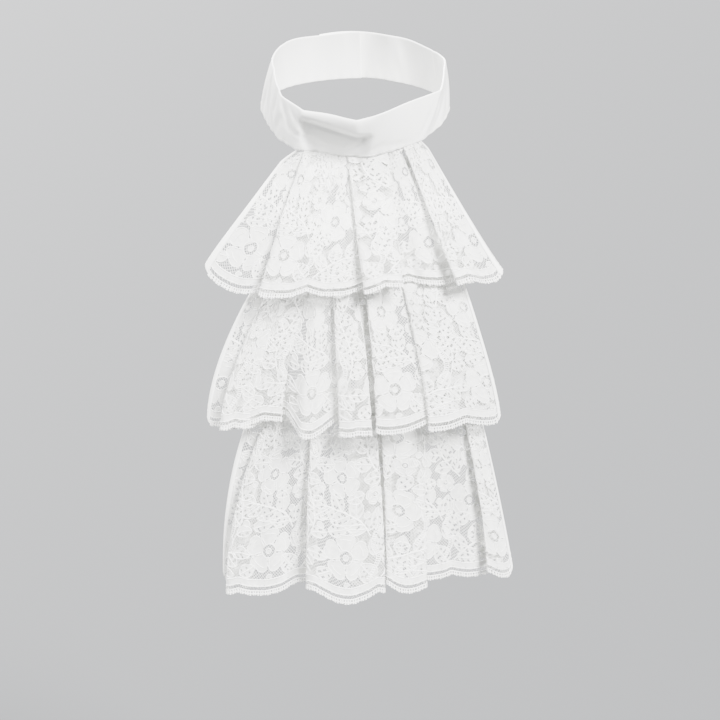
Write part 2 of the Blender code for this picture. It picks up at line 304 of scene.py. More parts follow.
def frontBow(x, share):
    # how far out the front lies: a rolled strip that widens to the right, over a hollow
    v = neckbandValues
    inside = smoothShare((x - mix(*v["dentFrom"], share)) / v["dentEnds"][0])
    inside *= smoothShare((mix(*v["dentTo"], share) - x) / v["dentEnds"][1])
    across = clamp((x - v["dentFrom"][0]) / (v["dentTo"][0] - v["dentFrom"][0]), 0.0, 1.0)
    top = mix(*v["dentTop"], across)
    hollow = smoothShare((share - top) / v["dentSlope"])
    hollow *= 1 - v["dentFade"] * smoothShare((share - v["fadeFrom"]) / (1 - v["fadeFrom"]))
    hollow *= 1 + v["creaseExtra"] * math.exp(-((share - top - v["dentSlope"]) / v["creaseWidth"]) ** 2)
    strip = math.sin(math.pi * clamp(share / (top + v["dentSlope"]), 0.0, 1.0) ** v["stripPeak"])
    return inside * (v["stripBulge"] * strip - v["dentDepth"] * hollow)


def neckbandSurface():
    v = neckbandValues
    tops, lows = neckbandEdges()
    ring = len(tops)
    steps = v["cornerSteps"]
    tops += tops[:steps + 1]  # the lapped end goes round once more, over one corner
    lows += lows[:steps + 1]
    lengths = lengthsAlong([(top + low) / 2 for top, low in zip(tops, lows)])
    lapOut = v["wall"] + 2 * v["tapeWall"] + 3 * v["gap"]
    rows = []
    for j in range(v["rows"]):
        share = j / (v["rows"] - 1)
        ripple = v["settle"] * (1 - share)
        row = []
        for step, (top, low, length) in enumerate(zip(tops, lows, lengths)):
            point = top.lerp(low, share)
            out = v["swell"] * hump(share) + lapOut * smoothShare((step - ring + steps) / steps)
            if point.y < 0:
                point.y -= frontBow(point.x, share)
            wander = v["settleSway"] * math.sin(length / v["settleSwayBeat"])
            out += ripple * math.sin(length / v["settleBeat"] + wander)
            point.z += ripple * math.sin(length / v["settleLiftBeat"] + v["settleLiftPhase"])
            row.append(point + Vector((point.x, point.y, 0)).normalized() * out)
        rows.append(row)

    def relief(along, down):
        near = smoothArray((down - 1 + v["puckerFade"]) / v["puckerFade"])
        return near * sumWaves(v["puckers"], along) - dentDepths(v["creases"], along, down * v["height"])

    return makeSurface(rows, lengths, relief)


seamFrontY = -8 * mm  # the frills hang from the part of the lower edge in front of this
seamLine = sorted([p for p in neckbandEdges()[1] if p.y < seamFrontY], key=lambda p: p.x)


def seamAt(x):
    for before, after in zip(seamLine, seamLine[1:]):
        if x <= after.x:
            break
    share = (x - before.x) / (after.x - before.x)
    return mix(before.y, after.y, share), mix(before.z, after.z, share)


# the smooth slope that the frills hang against, and how their pleats lie: as in the frame's solids

hangValues = {
    "slopeTopY": -38 * mm,
    "slopeTopZ": -41 * mm,
    "slopeReach": 36.5 * mm,
    "slopeDrop": 170 * mm,
    "slopeRoundTop": 185 * mm,
    "slopeRoundLow": 240 * mm,
    # how far below the seam the neckband's form, and its hollow, still show
    "seamFade": 60 * mm,
    "hollowFade": 24 * mm,
    "netWall": 1 * mm,
    "laceWall": 1 * mm,
    "gap": 0.3 * mm,
    "headTurn": 0.8 * mm,  # radius of a fold at the head
    "headHalfWidth": 56 * mm,  # beyond it the seam's height and depth stay as they are there
    "headDrop": -0.2 * mm,  # less than nothing: the heads reach a little over the neckband's edge
    "neckbandLean": 0.35,  # drop of a head for each mm further out
    "scallopWidth": 47 * mm,
    "scallopDepth": 4.5 * mm,
    "cornerRound": 6 * mm,
    # detail: rows of the surface, points round a fold, length of a piece of panel
    "rows": 41,
    "turnSteps": 11,
    "panelStep": 2.2 * mm,
    # soft flutter towards the hem and small gathers under the seam, as sumWaves reads them
    "flutter": [(1 * mm, 31 * mm, 2.1, 41.0, 0.0), (0.5 * mm, 17.1 * mm, 1.5, 67.0, 1.7)],
    "flutterFrom": 0.45,
    "flutterFade": 0.5,
    "gathers": [(0.25 * mm, 6.8 * mm, 2.0, 83.0, 0.0)],
    "gathersTo": 0.3,
    "gathersFade": 0.28,
    "dentFade": 0.2,
}

headTurn = hangValues["headTurn"]
headBackOut = hangValues["netWall"] + hangValues["gap"] + hangValues["laceWall"] / 2 + headTurn
headMiddleOut = headBackOut + headTurn
headFrontOut = headMiddleOut + headTurn


def slopeY(x, z):
    v = hangValues
    share = clamp((v["slopeTopZ"] - z) / v["slopeDrop"], 0.0, 1.0)
    roundness = mix(v["slopeRoundTop"], v["slopeRoundLow"], share)
    y = v["slopeTopY"] - v["slopeReach"] * share * (2 - share) + x * x / (2 * roundness)
    seamY, seamZ = seamAt(clamp(x, -v["headHalfWidth"], v["headHalfWidth"]))
    fade = smoothShare(1 - (seamZ - z) / v["seamFade"])
    sunk = -frontBow(x, 1.0) * smoothShare(1 - (seamZ - z) / v["hollowFade"])
    return mix(y, seamY + headMiddleOut, fade) + sunk


# Folds in mm, from the left edge to the right as seen from the front: x at the seam, x at the hem,
# how far out at the hem, radius there, whether it turns round the front (None at an edge), height
# of the hem, swell of the next panel, dip of its hem

frillUpper = {
    "name": "frill_upper",
    "headZ": None,
    # soft hollows in its panels, as dentDepths reads them; less than nothing is a swelling
    "dents": [
        (150, 44, 112, 34, 13, 4), (186, 18, 100, 16, 9, 1.6),
        (130, 84, 100, 26, 8, -1.8), (206, 80, 96, 34, 7, -1.2),
        (283, 62, 84, 36, 11, 2.2), (312, 66, 90, 40, 7, -1.4),
        (374, 60, 76, 42, 10, 1.8), (24, 60, 100, 40, 9, 1.8),
    ],
    "spread": (1.1, 0.97),  # over 1, the folds at that side move out early on their way down
    "scallopStart": 0.1,
    "folds": [
        (-43.5, -113, 16, 0, None, -124, 2, 7),
        (-8, -50, 14.5, 3.5, False, -132, 0.5, 0),
        (-37.5, -68, 26, 3.5, True, -133, 4, 0),
        (5, 16.5, 14, 3, False, -130, 0, 0),
        (-4.5, 10.5, 26, 3, True, -129, 2, 0),
        (23.5, 34, 26.5, 3, True, -124.5, 0, 0),
        (18.5, 30, 14.5, 2.5, False, -126, 2, 1),
        (45.5, 92, 14, 3.5, False, -125, 0, 0),
        (37, 79, 26, 3.5, True, -126, 2, 1.5),
        (49.5, 112.5, 17, 0, None, -124.5, 0, 0),
    ],
}

frillMiddle = {
    "name": "frill_middle",
    "headZ": -106.5,
    "dents": [
        (92, 74, 84, 44, 9, -1.6), (120, 70, 86, 46, 9, 2.4),
        (210, 76, 90, 44, 8, 2.2), (186, 100, 90, 30, 6, -1.4),
        (393, 70, 92, 46, 12, 2.2), (540, 78, 84, 40, 10, -1.6),
        (506, 84, 84, 44, 8, 2),
    ],
    "spread": (1.65, 1.3),
    "scallopStart": 0.35,
    "folds": [
        (-58, -112.5, 16, 0, None, -237.5, 2, 1),
        (-22, -58, 14, 3.5, False, -229, 0.5, 0),
        (-48.5, -97.5, 26.5, 3.5, True, -237, 0, 3.5),
        (-35, -60, 19, 9, False, -226.5, 0, 0),
        (-26, -35, 21.5, 7, True, -237.5, 0, 0),
        (-12, -5, 14, 3, False, -226, 0, 0),
        (-17, -10, 26.5, 3, True, -235.5, 1.5, 2),
        (-3.5, 10.5, 26.5, 3, True, -235.5, 0, 0),
        (-9, 4.5, 14, 3, False, -230.5, 1, 0),
        (22.5, 35.5, 14, 3, False, -231.5, 0, 0),
        (5.5, 19, 27, 3, True, -234.5, 2, 0),
        (62.5, 102.5, 13.5, 3.5, False, -228, 0.5, 0),
        (30, 58, 26.5, 3.5, True, -232.5, 3.5, -1),
        (73, 110, 17, 0, None, -235, 0, 0),
    ],
}

frillLower = {
    "name": "frill_lower",
    "headZ": -210.5,
    "dents": [
        (90, 110, 84, 52, 7, -2.2), (104, 112, 84, 54, 6, 3),
        (172, 84, 92, 56, 9, 2.4), (206, 100, 90, 50, 9, -1.6),
        (318, 90, 90, 50, 7, 1.6), (394, 92, 88, 56, 12, 2.6),
        (42, 96, 90, 50, 6, 1.6), (452, 90, 84, 50, 7, 1.4),
    ],
    "spread": (2.2, 1.1),
    "scallopStart": 0.6,
    "folds": [
        (-71, -102.5, 11, 0, None, -362, 1, 3),
        (-37.5, -80, 9, 3, False, -364, 0.5, 0),
        (-54.5, -96, 22, 3, True, -370, 3, 2),
        (-25, -31.5, 8.5, 3, False, -358, 0, 0),
        (-29.5, -35.5, 22.5, 3, True, -359.5, 3, 6),
        (13, 19, 24, 3, True, -362, 0, 0),
        (-7.5, -1, 8.5, 3, False, -357.5, 1, 0),
        (28, 32.5, 8.5, 3, False, -356, 0, 0),
        (19, 26.5, 23, 3, True, -355, 1, 3),
        (52, 51, 24, 3, True, -359, 0, 0),
        (43, 45.5, 9, 3, False, -355.5, 2, 4),
        (87.5, 112, 9, 2.5, False, -356, 0, 0),
        (79.5, 104.5, 19.5, 2.5, True, -353.5, 1.5, 2),
        (90.5, 123.5, 12, 0, None, -361.5, 0, 0),
    ],
}


def foldCircles(frill, share):
    circles = []
    folds = frill["folds"]
    for k, (headX, hemX, hemOut, hemRound, front, *_) in enumerate(folds):
        spread = mix(frill["spread"][0], frill["spread"][1], k / (len(folds) - 1))
        x = mix(headX, hemX, 1 - (1 - share) ** spread) * mm
        out = mix(headFrontOut if front else headBackOut, hemOut * mm, share)
        radius = mix(hangValues["headTurn"], hemRound * mm, share)
        signed = 0.0 if front is None else (radius if front else -radius)
        circles.append((x, out, signed))
    return circles


def beside(circle, heading):
    x, out, signed = circle
    return (x - math.sin(heading) * signed, out + math.cos(heading) * signed)


def planLine(frill, share, panelCounts):
    circles = foldCircles(frill, share)
    headings = []
    for (x0, out0, turn0), (x1, out1, turn1) in zip(circles, circles[1:]):
        span = math.hypot(x1 - x0, out1 - out0)
        headings.append(math.atan2(out1 - out0, x1 - x0) - math.asin((turn0 - turn1) / span))
    line = [(*beside(circles[0], headings[0]), 0.0)]
    turnSteps = hangValues["turnSteps"]
    for k, heading in enumerate(headings):
        start = beside(circles[k], heading)
        end = beside(circles[k + 1], heading)
        swell = frill["folds"][k][6] * mm * share
        for step in range(1, panelCounts[k]):
            s = step / panelCounts[k]
            line.append((mix(start[0], end[0], s), mix(start[1], end[1], s) + swell * hump(s), k + s))
        line.append((*end, k + 1.0))
        if k + 1 < len(headings):
            way = 1 if circles[k + 1][2] < 0 else -1
            turning = way * (way * (headings[k + 1] - heading) % math.tau)
            for step in range(1, turnSteps):
                angle = heading + turning * step / (turnSteps - 1)
                line.append((*beside(circles[k + 1], angle), k + 1.0))
    return line


def frillSurface(frill):
    v = hangValues
    hemCircles = foldCircles(frill, 1.0)
    panels = [math.dist(left[:2], right[:2]) for left, right in zip(hemCircles, hemCircles[1:])]
    panelCounts = [max(3, round(panel / v["panelStep"])) for panel in panels]
    hemLine = planLine(frill, 1.0, panelCounts)
    lengths = lengthsAlong([place[:2] for place in hemLine])
    hemHeights = []
    for (_, _, place), length in zip(hemLine, lengths):
        k = min(int(place), len(frill["folds"]) - 2)
        hemZ, _, dip = frill["folds"][k][5:]
        level = mix(hemZ, frill["folds"][k + 1][5], place - k) - dip * hump(place - k)
        phase = length / v["scallopWidth"] + frill["scallopStart"]
        across = 2 * (phase - math.floor(phase)) - 1
        inside = v["cornerRound"] - min(length, lengths[-1] - length, v["cornerRound"])
        lift = v["cornerRound"] - math.sqrt(v["cornerRound"] ** 2 - inside ** 2)
        hemHeights.append(level * mm - v["scallopDepth"] * (1 - across * across) + lift)
    rows = []
    for j in range(v["rows"]):
        share = j / (v["rows"] - 1)
        row = []
        for (x, out, _), hemZ in zip(planLine(frill, share, panelCounts), hemHeights):
            if frill["headZ"] is None:
                headZ = seamAt(clamp(x, -v["headHalfWidth"], v["headHalfWidth"]))[1] - v["headDrop"]
                headZ -= (out - headMiddleOut) * v["neckbandLean"]
            else:
                headZ = frill["headZ"] * mm
            z = mix(headZ, hemZ, share)
            row.append((x, slopeY(x, z) - out, z))
        rows.append(row)

    drop = math.dist(rows[0][0], rows[-1][0])

    def relief(along, down):
        low = smoothArray((down - v["flutterFrom"]) / v["flutterFade"])
        high = smoothArray((v["gathersTo"] - down) / v["gathersFade"])
        dents = dentDepths(frill["dents"], along, down * drop) * smoothArray(down / v["dentFade"])
        return sumWaves(v["flutter"], along) * low + sumWaves(v["gathers"], along) * high - dents

    return makeSurface(rows, lengths, relief)


# The lace repeat, in mm: x along the repeat, y up from the hem. Ordinary flowers, fronds,
# leaves, buds and ladder stems; angles in degrees

laceRepeat = {
    "width": 94.0,
    "height": 168.0,
    "netCell": 1.5,
    "netStretch": 1.3,
    "netTurn": 52.0,
    "netThread": 0.3,
    # knots within this share of a cell from an outline move onto it
    "netSnap": 0.36,
    # how the slope of the distance is measured for that, and the least slope it counts with
    "slopeStep": 0.05,
    "slopeLeast": 0.25,
    # heights of the hem's rows: ribbed picots, open row, tape, and the bare space over it
    "picotEnd": 0.5,
    "picotTop": 2.8,
    "openTop": 6.2,
    "tapeTop": 11.0,
    "tapeClear": 0.8,
    "picotPitch": 1.95,
    "ribBend": 1.0,
    "ribLean": 0.2,
    "ribEnd": (0.55, 0.25),
    # the map of distances: its step, how far round a motif it is worked out, its value elsewhere
    "mapStep": 0.25,
    "mapReach": 2.5,
    "mapFar": 9.0,
    # x, y, radius, turn
    "flowers": [
        (23, 33, 18, 90), (66, 62, 17, 70), (20, 91, 16, 105), (66, 118, 17, 84), (20, 150, 15, 60),
        (47, 76, 8, 30), (88, 149, 8.5, 10), (71, 97, 8.5, 20), (26, 115.5, 7.5, 40),
    ],
    # points of the stem, then how many leaves, their length and half width
    "fronds": [
        ([(50, 12), (60, 23), (74, 30), (88, 30)], 7, 17, 5.8),
        ([(88, 40), (92, 52), (91, 66), (86, 80)], 6, 16, 5.6),
        ([(42, 46), (36, 57), (24, 65), (8, 68)], 6, 17, 5.8),
        ([(60, 82), (50, 92), (43, 104), (42, 120)], 7, 16, 5.6),
        ([(80, 84), (90, 94), (95, 106), (92, 122)], 6, 16.5, 5.8),
        ([(14, 108), (10, 120), (18, 131), (34, 136)], 6, 16, 5.6),
        ([(84, 136), (72, 143), (58, 150), (42, 152)], 7, 16.5, 5.8),
    ],
    # x, y, angle, length, half width
    "leaves": [
        (45, 11, 124, 19, 6.4), (90, 11, 158, 19, 6), (44, 30, 64, 22, 7.6), (52, 44, 30, 15, 5.4),
        (62, 12, 20, 18, 5.4), (38, 78, 195, 14, 5), (76, 88, 220, 14, 5), (54, 132, 160, 15, 5.4),
        (50, 164, 10, 20, 5.8), (88, 164, 30, 20, 5.8), (9, 49.5, 18, 16, 4.8), (25, 54, 352, 15, 4.2),
        (47, 49, 84, 17, 4.8), (58, 87, 78, 17, 5), (88, 129.5, 96, 14, 5), (71, 159, 2, 16, 4.6),
        (31, 163.5, 338, 17, 4.8), (1, 13, 38, 14, 4.6), (60, 25, 150, 13, 4.2), (10, 104, 30, 13, 4.2),
        (43, 130, 196, 12, 4), (74, 36, 196, 13, 4.2),
    ],
    # x, y, radius
    "buds": [
        (3, 52, 2.6), (40, 62, 2.4), (4, 82, 2.4), (78, 98, 2.4), (38, 126, 2.6), (82, 126, 2.4),
        (3, 134, 2.6), (66, 157, 2.6), (80, 104, 2.2), (14, 57.5, 2.2), (34, 100, 2.2), (24, 12.8, 2.2),
    ],
    # ladder stems: two cords with rungs between, given by points along their middle
    "ladders": [
        [(40, 14), (48, 26), (44, 40), (50, 52)],
        [(2, 100), (-4, 112), (2, 126)],
        [(46, 122), (52, 134), (46, 146)],
        [(78, 36), (86, 46), (84, 58)],
    ],
    "ladderHalfWidth": 1.6,
    "cordStep": 1.6,
}

# shares of a flower's radius; slitHalfWidth and slitLeastRadius in mm, angles in degrees

flowerShape = {
    "petals": 5,
    "petalInner": 0.6,
    "petalFlat": 2.4,
    "notchDepth": 0.09,
    "notchHalfAngle": 6.0,
    "scallopDepth": 0.03,
    "scallopBeat": 7.5,
    "centre": (0.11, 0.27),
    "slit": (0.4, 0.74),
    "slitHalfWidth": 0.5,
    "slitLeastRadius": 12.0,
    # cords: points of the rim, two rings in the middle, rays and a bow on each petal
    "rimDetail": 1.45,
    "rings": (0.3, 0.12),
    "rays": (0.34, 0.62),
    "rayAngle": 30.0,
    "raySpread": (0.9, 1.1),
    "bow": 0.74,
    "bowAngles": (-20.0, -7.0, 7.0, 20.0),
}

leafShape = {
    "teeth": 5,
    "toothDepth": 0.1,
    "belly": 0.85,  # under 1, the widest place lies nearer to the stem
    "fullness": 0.75,
    # slits between the veins, in mm
    "veinPitch": 4.9,
    "veinHalfWidth": 0.92,
    "veinSlant": 0.7,
    "ribClear": 0.9,
    "rimClear": 1.2,
    "endsClear": (2.5, 3.0),
    # along a frond, in leaves: where the first one stands, and what the frond has beyond their
    # count; then a leaf's angle from the stem, the size of the smallest and of the one at the tip
    "frondStart": 0.7,
    "frondSpare": 0.4,
    "frondAngle": 50.0,
    "frondLeast": 0.72,
    "frondTip": 0.85,
}


def leafHalfWidth(along, length, halfWidth):
    v = leafShape
    share = np.clip(along / length, 0.0, 1.0)
    teeth = 1 - v["toothDepth"] * (1 - np.abs(np.sin(math.pi * v["teeth"] * share)))
    return halfWidth * np.sin(math.pi * share ** v["belly"]) ** v["fullness"] * teeth


def flowerEdge(angle, turn, radius):
    # outline of a flower; each petal has a shallow notch and a scalloped rim
    v = flowerShape
    half = 180.0 / v["petals"]
    lobe = (np.degrees(angle) - turn + half) % (2 * half) - half
    rounding = np.sqrt(np.clip(1.0 - (np.abs(lobe) / half) ** v["petalFlat"], 0.0, 1.0))
    notch = v["notchDepth"] * np.exp(-(lobe / v["notchHalfAngle"]) ** 2)
    scallops = v["scallopDepth"] * np.abs(np.sin(np.radians(lobe) * v["scallopBeat"]))
    return radius * mix(v["petalInner"], 1.0, rounding) * (1.0 - notch - scallops)


def headingAt(line, k, reach):
    # direction in degrees at point k, from the points within reach of it
    ahead = line[min(k + reach, len(line) - 1)]
    behind = line[max(k - reach, 0)]
    return math.degrees(math.atan2(ahead[1] - behind[1], ahead[0] - behind[0]))


def frondLeaves(points, count, length, halfWidth):
    v = leafShape
    line = curveThrough(points, 0.5)
    leaves = []
    for k in range(count):
        share = (k + v["frondStart"]) / (count + v["frondSpare"])
        i = int(share * (len(line) - 1))
        side = v["frondAngle"] if k % 2 else -v["frondAngle"]
        size = mix(v["frondLeast"], 1.0, math.sin(math.pi * share))
        leaves.append((*line[i], headingAt(line, i, 2) + side, length * size, halfWidth * size))
    tip = (headingAt(line, len(line) - 1, 3), length * v["frondTip"], halfWidth * v["frondTip"])
    leaves.append((*line[-1], *tip))
    return leaves


def allLeaves():
    leaves = list(laceRepeat["leaves"])
    for frond in laceRepeat["fronds"]:
        leaves += frondLeaves(*frond)
    return leaves


def makeLaceMap():
    # distance in mm to the closest motif, negative inside one, over a grid of one repeat
    v = laceRepeat
    bloom = flowerShape
    blade = leafShape
    far = v["mapFar"]
    xs = np.arange(0.0, v["width"] + v["mapStep"], v["mapStep"])
    ys = np.arange(0.0, v["height"] + v["mapStep"], v["mapStep"])
    nearest = np.full((len(ys), len(xs)), far)
    hollow = np.full((len(ys), len(xs)), far)

    def stamp(target, x, y, reach, shape):
        for shift in (-v["width"], 0.0, v["width"]):
            columns = np.nonzero(np.abs(xs - x - shift) < reach)[0]
            lines = np.nonzero(np.abs(ys - y) < reach)[0]
            if len(columns) and len(lines):
                window = np.ix_(lines, columns)
                px, py = np.meshgrid(xs[columns] - shift - x, ys[lines] - y)
                target[window] = np.minimum(target[window], shape(px, py))

    for x, y, radius, turn in v["flowers"]:

        def flower(px, py):
            return np.hypot(px, py) - flowerEdge(np.arctan2(py, px), turn, radius)

        def centre(px, py):
            reach = np.hypot(px, py)
            return np.maximum(reach - bloom["centre"][1] * radius, bloom["centre"][0] * radius - reach)

        def slits(px, py):
            reach = np.hypot(px, py)
            lobe = (np.degrees(np.arctan2(py, px)) - turn) % (360 / bloom["petals"]) - 180 / bloom["petals"]
            aside = np.abs(np.radians(lobe)) * reach - bloom["slitHalfWidth"]
            ends = np.maximum(bloom["slit"][0] * radius - reach, reach - bloom["slit"][1] * radius)
            return np.maximum(aside, ends)

        stamp(nearest, x, y, radius + v["mapReach"], flower)
        stamp(hollow, x, y, radius, centre)
        if radius > bloom["slitLeastRadius"]:
            stamp(hollow, x, y, radius, slits)
    for x, y, radius in v["buds"]:
        stamp(nearest, x, y, radius + v["mapReach"], lambda px, py: np.hypot(px, py) - radius)
    for x, y, angle, length, halfWidth in allLeaves():

        def leaf(px, py):
            along, aside = turned(px, py, angle)
            rim = np.abs(aside) - leafHalfWidth(along, length, halfWidth)
            return np.maximum(rim, np.maximum(-along, along - length))

        def veins(px, py):
            along, aside = turned(px, py, angle)
            aside = np.abs(aside)
            slanted = (along - blade["veinSlant"] * aside) / blade["veinPitch"]
            rung = np.abs(slanted % 1.0 - 0.5) * blade["veinPitch"] - blade["veinHalfWidth"]
            rim = aside - leafHalfWidth(along, length, halfWidth) + blade["rimClear"]
            ends = np.maximum(blade["endsClear"][0] - along, along - length + blade["endsClear"][1])
            return np.maximum(np.maximum(rung, blade["ribClear"] - aside), np.maximum(rim, ends))

        stamp(nearest, x, y, length + v["mapReach"], leaf)
        stamp(hollow, x, y, length, veins)
    return np.clip(np.maximum(nearest, -hollow), -far, far)


def laceDistance(laceMap, x, y):
    step = laceRepeat["mapStep"]
    lines = np.clip(y / step, 0, laceMap.shape[0] - 1.001)
    return gridBlend(laceMap, lines, (x % laceRepeat["width"]) / step)


def curveThrough(points, step):
    # smooth run through the points, with even steps
    count = len(points)
    dense = []
    for k in range(count - 1):
        p0 = points[max(k - 1, 0)]
        p1 = points[k]
        p2 = points[k + 1]
        p3 = points[min(k + 2, count - 1)]
        for i in range(12):
            s = i / 12
            dense.append(tuple(0.5 * (2 * b + (c - a) * s + (2 * a - 5 * b + 4 * c - d) * s * s
                                      + (3 * b - a - 3 * c + d) * s ** 3)
                               for a, b, c, d in zip(p0, p1, p2, p3)))
    dense.append(tuple(points[-1]))
    travelled = lengthsAlong(dense)
    pieces = max(2, round(travelled[-1] / step))
    places = np.linspace(0.0, travelled[-1], pieces + 1)
    xs = np.interp(places, travelled, [p[0] for p in dense])
    ys = np.interp(places, travelled, [p[1] for p in dense])
    return list(zip(xs, ys))


def evenRun(start, end, step):
    # straight from start to end, in even pieces of about a step
    pieces = round(math.dist(start, end) / step)
    return [tuple(mix(a, b, k / pieces) for a, b in zip(start, end)) for k in range(pieces + 1)]


def ringPoints(x, y, radius, step):
    pieces = max(3, round(math.tau * radius / step))
    return [polar(x, y, 360.0 * k / pieces, radius) for k in range(pieces + 1)]


def flowerCords(x, y, radius, turn, step):
    v = flowerShape
    count = v["petals"] * max(8, round(v["rimDetail"] * radius / step))
    rim = []
    for k in range(count + 1):
        degrees = turn + 360.0 * k / count
        rim.append(polar(x, y, degrees, float(flowerEdge(math.radians(degrees), turn, radius))))
    cords = [rim] + [ringPoints(x, y, share * radius, step) for share in v["rings"]]
    for k in range(v["petals"]):
        middle = turn + 360.0 / v["petals"] * k
        for aside in (-v["rayAngle"], v["rayAngle"]):
            cords.append([polar(x, y, middle + aside * mix(*v["raySpread"], s), mix(*v["rays"], s) * radius)
                          for s in (0.0, 0.5, 1.0)])
        cords.append([polar(x, y, middle + aside, v["bow"] * radius) for aside in v["bowAngles"]])
    return cords


def leafCords(x, y, angle, length, halfWidth, step):
    # both edges and the rib
    pieces = max(4, round(length / step))
    cords = []
    for side in (1, -1, 0):
        cord = []
        for k in range(pieces + 1):
            along = length * k / pieces
            aside = side * float(leafHalfWidth(np.float64(along), length, halfWidth))
            px, py = turned(along, aside, -angle)
            cord.append((x + px, y + py))
        cords.append(cord)
    return cords


def ladderCords(points, step):
    # two sides, and the rungs between them
    middle = curveThrough(points, step)
    rungs = []
    for k, (x, y) in enumerate(middle):
        heading = headingAt(middle, k, 1)
        rungs.append([polar(x, y, heading + side, laceRepeat["ladderHalfWidth"]) for side in (90, -90)])
    return [*zip(*rungs)] + rungs


def repeatCords():
    # outlines of one repeat, thin ones and thick ones, in mm
    step = laceRepeat["cordStep"]
    thin = []
    thick = []
    for flower in laceRepeat["flowers"]:
        thin += flowerCords(*flower, step)
    for leaf in allLeaves():
        thin += leafCords(*leaf, step)
    for x, y, radius in laceRepeat["buds"]:
        thin.append(ringPoints(x, y, radius, step))
    for frond in laceRepeat["fronds"]:
        thick.append(curveThrough(frond[0], step))
    for ladder in laceRepeat["ladders"]:
        thin += ladderCords(ladder, step)
    return thin, thick


def spreadOverStrip(cords, surface, start, inset):
    # repeats the cords along the strip, in metres down from its seam, cut off at its edges
    width = laceRepeat["width"]
    lowest = laceRepeat["tapeTop"] + laceRepeat["tapeClear"]
    runs = []
    for tile in range(-1, int(surface["width"] / mm / width) + 2):
        for cord in cords:
            run = []
            for x, y in cord:
                along = (x + (tile - start) * width) * mm
                down = surface["height"] - y * mm
                if inset < along < surface["width"] - inset and down > inset and y > lowest:
                    run.append((along, down))
                elif run:
                    runs.append(run)
                    run = []
            runs.append(run)
    return [run for run in runs if len(run) > 1]


def cordMesh(runs, radius, flatten=1.0, sides=0, off=0.0):
    # cords along flat runs, as a curve with a bevel made into a mesh
    curve = bpy.data.curves.new("cords", "CURVE")
    curve.dimensions = "3D"
    curve.bevel_depth = radius
    curve.bevel_resolution = sides
    curve.use_fill_caps = True
    for run in runs:
        spline = curve.splines.new("POLY")
        spline.points.add(len(run) - 1)
        for point, place in zip(spline.points, run):
            point.co = (*place, 0.0, 1.0) if len(place) == 2 else (*place, 1.0)
    holder = addToScene("cords", curve)
    mesh = bpy.data.meshes.new_from_object(holder)
    bpy.data.objects.remove(holder)
    bpy.data.curves.remove(curve)
    mesh.transform(Matrix.Translation((0.0, 0.0, off)) @ Matrix.Diagonal((1.0, 1.0, flatten, 1.0)))
    return mesh


def netGrid(width, height, cell, stretch=1.0, turn=45.0):
    # a net of diamond cells, cut to the strip's rectangle
    bm = bmesh.new()
    half = math.hypot(width, height) / 2 + cell
    count = math.ceil(2 * half / cell)
    bmesh.ops.create_grid(bm, x_segments=math.ceil(count / stretch), y_segments=count, size=0.5)
    size = (math.ceil(count / stretch) * stretch * cell, count * cell, 1)
    bmesh.ops.scale(bm, verts=bm.verts, vec=size)
    bmesh.ops.rotate(bm, verts=bm.verts, matrix=Matrix.Rotation(math.radians(turn), 3, "Z"))
    bmesh.ops.translate(bm, verts=bm.verts, vec=(width / 2, height / 2, 0))
    cuts = [((0, 0, 0), (-1, 0, 0)), ((width, 0, 0), (1, 0, 0)),
            ((0, 0, 0), (0, -1, 0)), ((0, height, 0), (0, 1, 0))]
    for place, facing in cuts:
        everything = list(bm.verts) + list(bm.edges) + list(bm.faces)
        bmesh.ops.bisect_plane(bm, geom=everything, plane_co=place, plane_no=facing, clear_outer=True)
    return bm


def laceGround(surface, start, laceMap):
    # flat lace: open net, but closed clothwork where a motif or the hem tape lies
    v = laceRepeat
    height = surface["height"] / mm
    bm = netGrid(surface["width"], surface["height"], v["netCell"] * mm, v["netStretch"], v["netTurn"])
    flat = np.array([vert.co[:2] for vert in bm.verts]) / mm

    def distance(x, down):
        y = height - down
        motif = laceDistance(laceMap, x + start * v["width"], y)
        motif = np.maximum(motif, v["tapeTop"] + v["tapeClear"] - y)
        return np.minimum(motif, np.maximum(y - v["tapeTop"], v["openTop"] - y))

    # knots near an outline move onto it, along the way in which the distance changes
    here = distance(flat[:, 0], flat[:, 1])
    tiny = v["slopeStep"]
    alongSlope = (distance(flat[:, 0] + tiny, flat[:, 1]) - here) / tiny
    downSlope = (distance(flat[:, 0], flat[:, 1] + tiny) - here) / tiny
    move = here / np.maximum(alongSlope ** 2 + downSlope ** 2, v["slopeLeast"]) * mm
    for k, vert in enumerate(bm.verts):
        if abs(here[k]) < v["netSnap"] * v["netCell"] and not vert.is_boundary:
            vert.co.x -= move[k] * alongSlope[k]
            vert.co.y -= move[k] * downSlope[k]
    faces = list(bm.faces)
    centres = np.array([face.calc_center_median()[:2] for face in faces]) / mm
    closed = distance(centres[:, 0], centres[:, 1]) < 0
    bare = height - centres[:, 1] < v["openTop"]
    netFaces = [face for face, keep in zip(faces, ~closed & ~bare) if keep]
    bareFaces = [face for face, cut in zip(faces, ~closed & bare) if cut]
    bmesh.ops.delete(bm, geom=bareFaces, context="FACES")
    bmesh.ops.inset_individual(bm, faces=netFaces, thickness=v["netThread"] * mm / 2, use_even_offset=True)
    bmesh.ops.delete(bm, geom=netFaces, context="FACES")
    return bm


